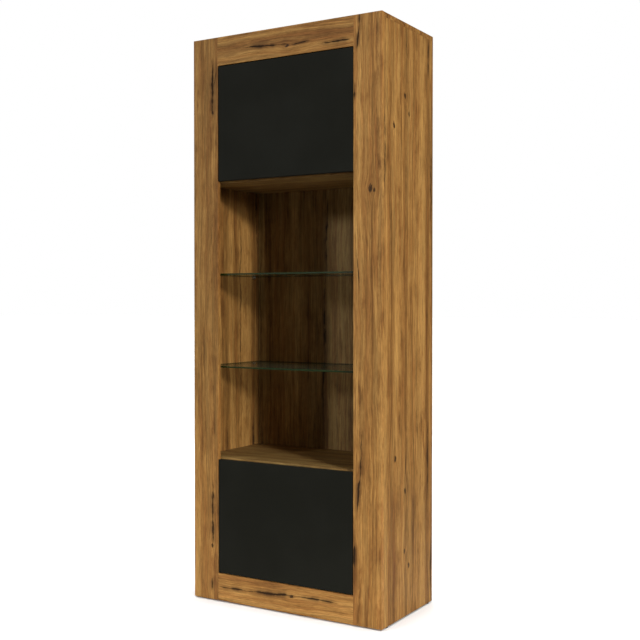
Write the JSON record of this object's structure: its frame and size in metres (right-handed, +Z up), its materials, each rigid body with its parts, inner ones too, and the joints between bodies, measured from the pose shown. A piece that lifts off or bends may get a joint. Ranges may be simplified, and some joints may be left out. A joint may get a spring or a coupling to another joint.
{
  "type": "china cabinet with glass doors",
  "caption": "Tall narrow display cabinet: oak-look carcass and wide face frame, black side-hung doors at top and bottom, open middle bay with clear glass shelves.",
  "frame": {"origin": "on the floor, under the middle of the cabinet's width and depth", "axes": "+X to the right as seen from the front, +Y from the front to the back, +Z up"},
  "size_m": [0.76, 0.39, 2],
  "materials": {
    "oak_decor": "satin, golden-brown cracked oak pattern",
    "black_front": "dead-matt black",
    "shelf_glass": "polished clear glass with dark green edges",
    "back_sheet": "thin hardboard with the oak pattern on its inner face",
    "beech": "turned, bare",
    "zinc": "die-cast, plated",
    "clear_pad": "soft, translucent",
    "black_plastic": "moulded",
    "grey_plastic": "moulded",
    "steel": "zinc-plated"
  },
  "bodies": {
    "carcass": {"back_panel": "back_sheet", "back_panel_nails": "steel", "bottom_panel": "oak_decor", "bottom_rail": "oak_decor", "bracket_screws": "steel", "cam_bolts": "steel", "cam_locks": "zinc", "floor_glides": "black_plastic", "left_side_panel": "oak_decor", "left_stile": "oak_decor", "lower_door_bottom_hinge_arm": "steel", "lower_door_top_hinge_arm": "steel", "lower_fixed_shelf": "oak_decor", "lower_glass_shelf": "shelf_glass", "lower_hinge_arm_screws": "steel", "lower_latch_housing": "grey_plastic", "lower_latch_screws": "steel", "lower_shelf_pads": "clear_pad", "lower_shelf_supports": "zinc", "rail_brackets": "steel", "right_side_panel": "oak_decor", "right_stile": "oak_decor", "top_panel": "oak_decor", "top_rail": "oak_decor", "upper_door_bottom_hinge_arm": "steel", "upper_door_top_hinge_arm": "steel", "upper_fixed_shelf": "oak_decor", "upper_glass_shelf": "shelf_glass", "upper_hinge_arm_screws": "steel", "upper_latch_housing": "grey_plastic", "upper_latch_screws": "steel", "upper_shelf_pads": "clear_pad", "upper_shelf_supports": "zinc", "wall_brackets": "steel", "wooden_dowels": "beech"},
    "lower_door": {"lower_door": "black_front", "lower_door_bottom_hinge_leaf": "steel", "lower_door_bottom_hinge_pin": "steel", "lower_door_top_hinge_leaf": "steel", "lower_door_top_hinge_pin": "steel", "lower_hinge_leaf_screws": "steel", "lower_strike_plate": "steel"},
    "upper_door": {"upper_door": "black_front", "upper_door_bottom_hinge_leaf": "steel", "upper_door_bottom_hinge_pin": "steel", "upper_door_top_hinge_leaf": "steel", "upper_door_top_hinge_pin": "steel", "upper_hinge_leaf_screws": "steel", "upper_strike_plate": "steel"},
    "lower_latch_plunger": {"lower_latch_plunger": "grey_plastic", "lower_latch_magnet": "steel"},
    "upper_latch_plunger": {"upper_latch_plunger": "grey_plastic", "upper_latch_magnet": "steel"}
  },
  "joints": [
    {"name": "lower_door_hinge", "type": "hinge", "parent": "carcass", "child": "lower_door", "pos_m": [-0.2665, -0.189, 0.30475], "axis": [0, 0, -1], "range_deg": [0, 105]},
    {"name": "upper_door_hinge", "type": "hinge", "parent": "carcass", "child": "upper_door", "pos_m": [-0.2665, -0.189, 1.69525], "axis": [0, 0, -1], "range_deg": [0, 105]},
    {"name": "lower_latch_slide", "type": "slide", "parent": "carcass", "child": "lower_latch_plunger", "axis": [0, -1, 0], "range_m": [0, 0.01]},
    {"name": "upper_latch_slide", "type": "slide", "parent": "carcass", "child": "upper_latch_plunger", "axis": [0, -1, 0], "range_m": [0, 0.01]}
  ],
  "couplings": [
    {"joint": "lower_latch_slide", "follows": "lower_door_hinge", "m_per_rad": 0.00545},
    {"joint": "upper_latch_slide", "follows": "upper_door_hinge", "m_per_rad": 0.00545}
  ]
}
